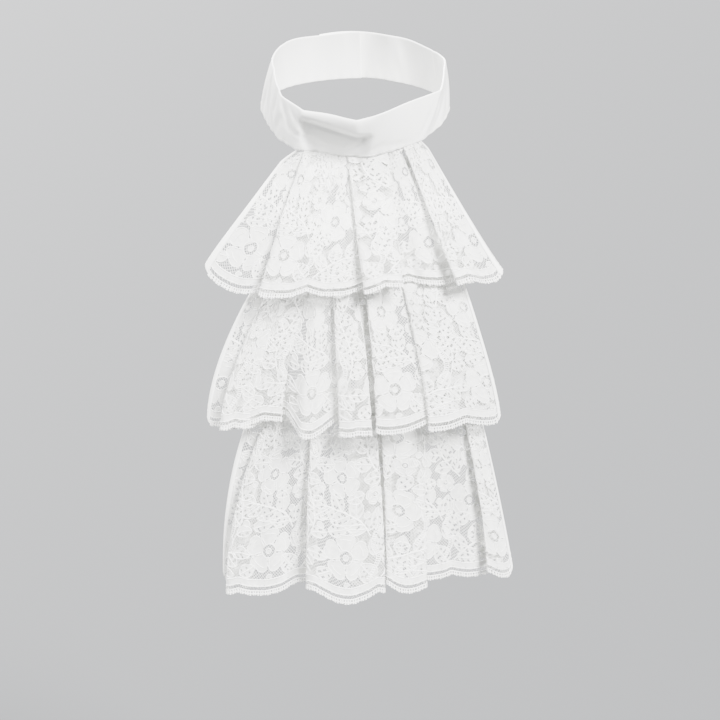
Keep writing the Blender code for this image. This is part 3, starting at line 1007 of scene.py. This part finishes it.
def hemRuns(surface):
    # ribs of the picot edge, the hem's four cords, and the open row's zigzag
    v = laceRepeat
    height = surface["height"]
    width = surface["width"]
    ribCount = round(width / mm / v["picotPitch"])
    low = height - v["picotTop"] * mm
    high = height - v["openTop"] * mm
    ribs = []
    for k in range(ribCount):
        along = width * (k + 0.5) / ribCount
        leaning = along + v["ribLean"] * mm * math.sin(2.3 * k)  # no two ribs in a row alike
        end = height + (v["ribEnd"][0] + v["ribEnd"][1] * math.sin(1.7 * k)) * mm
        ribs.append([(along, low), (leaning, height - v["ribBend"] * mm), (leaning, end)])
    half = width / ribCount / 2
    zigzag = [(half * k, high if k % 2 else low) for k in range(2 * ribCount + 1)]
    downs = [height - v[row] * mm for row in ("picotEnd", "picotTop", "openTop", "tapeTop")]
    cords = [evenRun((0.0, down), (width, down), trimValues["hemStep"]) for down in downs]
    return ribs, cords, [zigzag]


def sideHemRuns(surface, inset):
    return [evenRun((along, 0.0), (along, surface["height"]), trimValues["sideStep"])
            for along in (inset, surface["width"] - inset)]


def stitchRuns(down, first, last, pitch, length):
    runs = []
    for k in range(int((last - first) / pitch)):
        along = first + pitch * (k + 0.5)
        runs.append([(along - length / 2, down), (along, down), (along + length / 2, down)])
    return runs


def joinMeshes(name, meshes):
    bm = bmesh.new()
    for mesh in meshes:
        bm.from_mesh(mesh)
        bpy.data.meshes.remove(mesh)
    return finishMesh(name, bm)


def flatStrip(name, place, size, thickness, cells, rimRound=0.0, rimSegments=1):
    # a flat strip of cloth with a thickness, from its corner's place
    bm = bmesh.new()
    bmesh.ops.create_grid(bm, x_segments=cells[0], y_segments=cells[1], size=0.5)
    bmesh.ops.scale(bm, verts=bm.verts, vec=(*size, 1))
    bmesh.ops.translate(bm, verts=bm.verts, vec=(place[0] + size[0] / 2, place[1] + size[1] / 2, place[2]))
    bmesh.ops.solidify(bm, geom=bm.faces, thickness=thickness)
    if rimRound:
        rim = [edge for edge in bm.edges if edge.calc_face_angle(0) > 1.0]
        bmesh.ops.bevel(bm, geom=rim, offset=rimRound, offset_type="OFFSET", affect="EDGES",
                        segments=rimSegments, profile=0.5, material=-1, clamp_overlap=True)
    bmesh.ops.recalc_face_normals(bm, faces=bm.faces)
    return finishMesh(name, bm)


# materials

waveUnit = 0.314  # a wave texture of scale 1 repeats after this length

threadValues = {
    "roughness": 0.62,
    "sheen": 0.25,
    "sheenRoughness": 0.4,
    "weavePitch": 0.55 * mm,
    "weaveBump": 0.35,
    "cloudScale": 260.0,
    # lightest and darkest tone of each kind
    "cloth": ((0.75, 0.75, 0.725), (0.63, 0.63, 0.605)),
    "cord": ((0.91, 0.91, 0.885), (0.85, 0.85, 0.825)),
    "net": ((0.86, 0.86, 0.835), (0.78, 0.78, 0.755)),
    "tape": ((0.82, 0.82, 0.8), (0.74, 0.74, 0.72)),
}

satinValues = {
    "color": (0.93, 0.93, 0.905),
    "roughness": (0.25, 0.42),
    "specular": 0.5,
    "anisotropic": 0.4,
    "sheen": 0.15,
    "floatPitch": 0.45 * mm,
    "floatBump": 0.08,
    "crumpleScale": 70.0,
    "crumpleBump": 0.25,
}


def newMaterial(name, nodes, links):
    # nodes: kind, then values of its sockets or its own; links: from a node's socket to another's
    material = bpy.data.materials.new(name)
    material.use_nodes = True
    tree = material.node_tree
    made = {"shader": tree.nodes["Principled BSDF"]}
    for key, (kind, values) in nodes.items():
        node = made.get(key) or tree.nodes.new(kind)
        made[key] = node
        for entry, value in values.items():
            if entry in node.inputs:
                node.inputs[entry].default_value = value
            else:
                setattr(node, entry, value)
    for source, output, target, entry in links:
        tree.links.new(made[source].outputs[output], made[target].inputs[entry])
    return material


def clothThread(name, tones, weaveDirection="X"):
    # matte thread with fine rows, read from the cloth's own flat coordinates
    v = threadValues
    light, dark = v[tones]
    return newMaterial(name, {
        "shader": ("", {"Roughness": v["roughness"], "Sheen Weight": v["sheen"],
                        "Sheen Roughness": v["sheenRoughness"]}),
        "flat": ("ShaderNodeUVMap", {"uv_map": "cloth"}),
        "rows": ("ShaderNodeTexWave", {"bands_direction": weaveDirection, "Distortion": 0.6, "Detail": 1.0,
                                       "Detail Scale": 2.0, "Scale": waveUnit / v["weavePitch"]}),
        "cloudy": ("ShaderNodeTexNoise", {"Scale": v["cloudScale"], "Detail": 3.0, "Roughness": 0.6}),
        "ramp": ("ShaderNodeMapRange", {"From Min": 0.3, "From Max": 0.6}),
        "tone": ("ShaderNodeMixRGB", {"Color1": (*dark, 1), "Color2": (*light, 1)}),
        "bump": ("ShaderNodeBump", {"Strength": v["weaveBump"], "Distance": 0.2 * mm}),
    }, [
        ("flat", "UV", "rows", "Vector"), ("flat", "UV", "cloudy", "Vector"),
        ("cloudy", "Fac", "ramp", "Value"), ("ramp", "Result", "tone", "Fac"),
        ("tone", "Color", "shader", "Base Color"),
        ("rows", "Fac", "bump", "Height"), ("bump", "Normal", "shader", "Normal"),
    ])


def satinMaterial():
    # fine floats along the band over soft crumples
    v = satinValues
    return newMaterial("white satin", {
        "shader": ("", {"Base Color": (*v["color"], 1), "Sheen Weight": v["sheen"],
                        "Specular IOR Level": v["specular"], "Anisotropic": v["anisotropic"]}),
        "flat": ("ShaderNodeUVMap", {"uv_map": "cloth"}),
        "floats": ("ShaderNodeTexWave", {"bands_direction": "X", "Scale": waveUnit / v["floatPitch"],
                                         "Distortion": 1.5, "Detail": 2.0}),
        "crumple": ("ShaderNodeTexNoise", {"Scale": v["crumpleScale"], "Detail": 4.0, "Roughness": 0.55}),
        "rough": ("ShaderNodeMapRange", {"To Min": v["roughness"][0], "To Max": v["roughness"][1]}),
        "soft": ("ShaderNodeBump", {"Strength": v["crumpleBump"], "Distance": 0.8 * mm}),
        "fine": ("ShaderNodeBump", {"Strength": v["floatBump"], "Distance": 0.1 * mm}),
    }, [
        ("flat", "UV", "floats", "Vector"), ("flat", "UV", "crumple", "Vector"),
        ("crumple", "Fac", "rough", "Value"), ("rough", "Result", "shader", "Roughness"),
        ("crumple", "Fac", "soft", "Height"), ("floats", "Fac", "fine", "Height"),
        ("soft", "Normal", "fine", "Normal"), ("fine", "Normal", "shader", "Normal"),
    ])


# pieces

def dress(name, mesh, surface, material, nodes=()):
    # hangs a flat mesh on its cloth and makes it a piece of the garment
    hang(mesh, surface)
    piece = addPiece(name, mesh, material)
    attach(piece, "root")
    if nodes:
        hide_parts(*nodes)
    return piece


def dressCords(name, cords, surface, material):
    # one piece of several kinds of cord, each with what cordMesh reads
    return dress(name, joinMeshes(name, [cordMesh(*cord) for cord in cords]), surface, material)


trimValues = {
    # radius, flatness, extra sides
    "outline": (0.4 * mm, 0.75),
    "stem": (0.55 * mm, 0.7),
    "rib": (0.72 * mm, 0.5),
    "hemCord": (0.45 * mm, 0.8),
    "zigzag": (0.2 * mm, 1.0),
    "sideHem": (1.1 * mm, 0.42, 1),
    "headThread": (0.22 * mm, 1.0),
    "hemStep": 1.8 * mm,
    "sideStep": 2.5 * mm,
    "sideInset": 1.1 * mm,
    "motifInset": 2.4 * mm,
    "headStitch": (3.2 * mm, 2.5 * mm),
    "headStitchDown": 2.5 * mm,
}


def makeFrill(frill, laceMap, groundMaterial, cordMaterial, sewnOn):
    # sewnOn: pieces made before that belong to this frill's cloth; not used
    v = trimValues
    name = frill["name"]
    surface = frillSurface(frill)
    start = frill["scallopStart"] / 2
    mesh = finishMesh(name + "_lace", laceGround(surface, start, laceMap))
    ground = dress(name + "_lace", mesh, surface, groundMaterial, [name])
    thin, thick = repeatCords()
    outlines = spreadOverStrip(thin, surface, start, v["motifInset"])
    stems = spreadOverStrip(thick, surface, start, v["motifInset"])
    motifs = dressCords(name + "_motifs", [(outlines, *v["outline"]), (stems, *v["stem"])],
                        surface, cordMaterial)
    ribs, cords, zigzag = hemRuns(surface)
    sides = sideHemRuns(surface, v["sideInset"])
    stitches = stitchRuns(v["headStitchDown"], 0.0, surface["width"], *v["headStitch"])
    edge = dressCords(name + "_edge", [(ribs, *v["rib"]), (cords, *v["hemCord"]), (zigzag, *v["zigzag"]),
                                       (sides, *v["sideHem"]), (stitches, *v["headThread"])],
                      surface, cordMaterial)
    size = (round(surface["width"] / mm), round(surface["height"] / mm))
    print(name, "strip", size, "triangles", [triangleCount(piece.data) for piece in (ground, motifs, edge)])


def makeNeckband(material, threadMaterial):
    v = neckbandValues
    surface = neckbandSurface()
    width = surface["width"]
    height = surface["height"]
    face = v["clothThickness"] / 2
    cells = (round(width / v["cell"]), round(height / v["cell"]))
    mesh = flatStrip("neckband_satin", (0.0, 0.0, face), (width, height), v["clothThickness"], cells,
                     v["foldRound"], v["foldSegments"])
    piece = dress("neckband_satin", mesh, surface, material, ["neckband"])
    rows = stitchRuns(height - v["seamStitchUp"], 0.0, width, *v["seamStitch"])
    for down in (v["lapTop"], height - v["lapFoot"]):
        rows += stitchRuns(down, width - v["lapFrom"], width - v["lapTo"], *v["lapStitch"])
    for along in (width - v["lapFrom"], width - v["lapSide"]):
        upright = stitchRuns(along, v["lapTop"], height - v["lapFoot"], *v["lapStitch"])
        rows += [[(a, d) for d, a in run] for run in upright]
    stitches = dressCords("neckband_stitches", [(rows, v["thread"], 1.0, 0, face)],
                          surface, threadMaterial)
    print("neckband strip", round(width / mm), round(height / mm), "triangles", triangleCount(mesh))
    return surface


closureValues = {
    "length": 28 * mm,
    "start": 1 * mm,
    "margin": 0.22,
    "baseWall": 0.6 * mm,
    "baseCells": (28, 20),
    "edgeRound": 0.2 * mm,
    "hookOut": 0.75 * mm,
    "loopOut": 3.75 * mm,
    # the pile: pitch, how far from the rim, height, half width, lean and thread
    "pitch": 1.5 * mm,
    "pileInset": 2 * mm,
    "pileMargins": 3 * mm,
    "pileShift": (0.25, 0.75),  # of the even rows and the odd ones, in pitches
    "reach": 1.15 * mm,
    "halfWidth": 0.4 * mm,
    "lean": 0.4 * mm,
    "leanBeat": (5, 3),  # how the lean changes from one to the next, along and down
    "arcSteps": 4,
    "pileThread": 0.12 * mm,
    "stitch": (2.4 * mm, 1.8 * mm),
    "stitchInset": 1.2 * mm,
    "stitchFrom": 2 * mm,
    "stitchThread": 0.16 * mm,
}


def makeClosure(kind, band, base, towards, material, threadMaterial):
    # one tape of the fastener: a woven base with rows of small hooks or loops on it
    v = closureValues
    name = "closure_" + kind + "_tape"
    tall = band["height"] * (1 - 2 * v["margin"])
    top = band["height"] * v["margin"]
    tape = flatStrip(name, (v["start"], top, base + v["baseWall"] / 2), (v["length"], tall), v["baseWall"],
                     v["baseCells"], v["edgeRound"], 2)
    face = base + towards * v["baseWall"] / 2
    pile = []
    for i in range(int((v["length"] - v["pileMargins"]) / v["pitch"])):
        for j in range(int((tall - v["pileMargins"]) / v["pitch"])):
            x = v["start"] + v["pileInset"] + v["pitch"] * (i + v["pileShift"][j % 2])
            y = top + v["pileInset"] + v["pitch"] * j
            lean = v["lean"] * math.sin(v["leanBeat"][0] * i + v["leanBeat"][1] * j)
            arc = [polar(0.0, 0.0, 180.0 * k / v["arcSteps"], 1.0) for k in range(v["arcSteps"] + 1)]
            pile.append([(x + v["halfWidth"] * across, y + lean * up, face + towards * v["reach"] * up)
                         for across, up in arc])
    sewn = []
    for down in (top + v["stitchInset"], top + tall - v["stitchInset"]):
        sewn += stitchRuns(down, v["stitchFrom"], v["length"], *v["stitch"])
    piece = dress(name, tape, band, material, ["closure_" + kind])
    trim = dressCords(name + "_pile", [(pile, v["pileThread"]), (sewn, v["stitchThread"], 1.0, 0, face)],
                      band, threadMaterial)
    print("closure", kind, "tape, triangles", triangleCount(tape), triangleCount(trim.data))


backingValues = {
    "width": 58 * mm,
    "endZ": -219 * mm,
    "rows": 45,
    "columns": 21,
    "netCell": 1.7 * mm,
    "netThread": 0.34 * mm,
    "sideBand": (1.2 * mm, 0.35, 1),
    "sideInset": 1.2 * mm,
    "footBand": (0.9 * mm, 0.5),
    "footInset": 1 * mm,
    "footStep": 1.93 * mm,
    "leastArea": 0.301,  # share of the strip that the stated area doesn't fall below
}


def makeBacking(netMaterial, threadMaterial):
    v = backingValues

    def place(across, down):
        x = v["width"] * (across - 0.5)
        z = mix(seamAt(x)[1] - hangValues["headDrop"], v["endZ"], down)
        return (x, slopeY(x, z) - hangValues["netWall"] / 2, z)

    lengths = [v["width"] * i / (v["columns"] - 1) for i in range(v["columns"])]
    surface = makeSurface(placeGrid(place, v["rows"], v["columns"]), lengths)
    width = surface["width"]
    height = surface["height"]
    bm = netGrid(width, height, v["netCell"])
    cells = list(bm.faces)
    bmesh.ops.inset_individual(bm, faces=cells, thickness=v["netThread"] / 2, use_even_offset=True)
    bmesh.ops.delete(bm, geom=cells, context="FACES")
    mesh = finishMesh("backing_net", bm)
    piece = dress("backing_net", mesh, surface, netMaterial, ["backing"])
    foot = evenRun((0.0, height - v["footInset"]), (width, height - v["footInset"]), v["footStep"])
    edge = dressCords("backing_edge", [(sideHemRuns(surface, v["sideInset"]), *v["sideBand"]),
                                       ([foot], *v["footBand"])], surface, threadMaterial)
    print("backing triangles", triangleCount(mesh), triangleCount(edge.data))


headTapeValues = {
    "drop": 6.5 * mm,
    "above": 0.5 * mm,
    "out": 0.45 * mm,
    "thickness": 0.5 * mm,
    "rows": 5,
    "columns": 61,
    "cells": (70, 5),
    "stitch": (3 * mm, 2.2 * mm),
    "stitchInset": 1.6 * mm,
    "thread": 0.2 * mm,
}


def makeHeadTape(frill, material, threadMaterial):
    # ribbon behind a gathered head, with the two rows of stitches that hold the gathers
    v = headTapeValues
    name = frill["name"] + "_tape"
    headX = [fold[0] * mm for fold in (frill["folds"][0], frill["folds"][-1])]

    def place(across, down):
        x = mix(*headX, across)
        z = frill["headZ"] * mm + v["above"] - v["drop"] * down
        return (x, slopeY(x, z) - v["out"], z)

    rows = placeGrid(place, v["rows"], v["columns"])
    surface = makeSurface(rows, lengthsAlong(rows[0]))
    size = (surface["width"], surface["height"])
    mesh = flatStrip(name, (0.0, 0.0, v["thickness"] / 2), size, v["thickness"], v["cells"])
    piece = dress(name, mesh, surface, material)
    runs = []
    for down in (v["stitchInset"], size[1] - v["stitchInset"]):
        runs += stitchRuns(down, 0.0, size[0], *v["stitch"])
    stitches = dressCords(name + "_stitches", [(runs, v["thread"], 1.0, 0, -v["thickness"] / 2)],
                          surface, threadMaterial)
    return [piece, stitches]


# scene around the garment

cameraValues = {
    "place": (3.825 * mm, -1540.4 * mm, 177.5 * mm),
    "down": 14.0,
    "lens": 100.5,
    "sensor": 36.0,
}

lightValues = {
    # name, place it shines from, watts a square metre, softness in degrees
    "suns": [
        ("key", (0.85, -1.1, 1.2), 23.0, 20.0),
        ("side", (-1.3, -0.4, 1.2), 10.0, 26.0),
        ("back", (-0.7, 1.2, 0.8), 19.0, 30.0),
    ],
    "world": (0.84, 0.87, 0.92),
    "worldStrength": 0.34,
    "floorColor": (0.061, 0.0625, 0.065),
    "floorRoughness": 0.9,
    "floorZ": -0.8,
    "floorRadius": 60.0,
    "floorSides": 96,
}


def makeStage():
    v = lightValues
    floor = bmesh.new()
    bmesh.ops.create_circle(floor, cap_ends=True, segments=v["floorSides"], radius=v["floorRadius"])
    bmesh.ops.translate(floor, verts=floor.verts, vec=(0, 0, v["floorZ"]))
    paint = newMaterial("pale floor", {
        "shader": ("", {"Base Color": (*v["floorColor"], 1), "Roughness": v["floorRoughness"]}),
    }, [])
    addPiece("floor", finishMesh("floor", floor), paint)
    for name, place, strength, softness in v["suns"]:
        sun = bpy.data.lights.new(name, "SUN")
        sun.energy = strength
        sun.angle = math.radians(softness)
        addToScene(name, sun).rotation_euler = Vector(place).to_track_quat("Z", "Y").to_euler()
    world = bpy.data.worlds.new("studio")
    world.use_nodes = True
    sky = world.node_tree.nodes["Background"]
    sky.inputs["Color"].default_value = (*v["world"], 1)
    sky.inputs["Strength"].default_value = v["worldStrength"]
    bpy.context.scene.world = world
    camera = bpy.data.cameras.new("camera")
    camera.lens = cameraValues["lens"]
    camera.sensor_width = cameraValues["sensor"]
    holder = addToScene("camera", camera)
    holder.location = cameraValues["place"]
    holder.rotation_euler = (math.radians(90 - cameraValues["down"]), 0, 0)
    bpy.context.scene.camera = holder
    print("stage ready")


def main():
    makeStage()
    lace = clothThread("white lace cloth", "cloth", "DIAGONAL")
    cord = clothThread("white lace cord", "cord")
    net = clothThread("white net", "net", "DIAGONAL")
    thread = clothThread("white thread", "cord")
    tape = clothThread("white nylon tape", "tape")
    satin = satinMaterial()
    print("materials ready")
    band = makeNeckband(satin, thread)
    makeClosure("hook", band, closureValues["hookOut"], 1, tape, thread)
    makeClosure("loop", band, closureValues["loopOut"], -1, tape, thread)
    makeBacking(net, thread)
    laceMap = makeLaceMap()
    print("lace drawn")
    makeFrill(frillUpper, laceMap, lace, cord, [])
    for frill in (frillMiddle, frillLower):
        makeFrill(frill, laceMap, lace, cord, makeHeadTape(frill, satin, thread))


main()
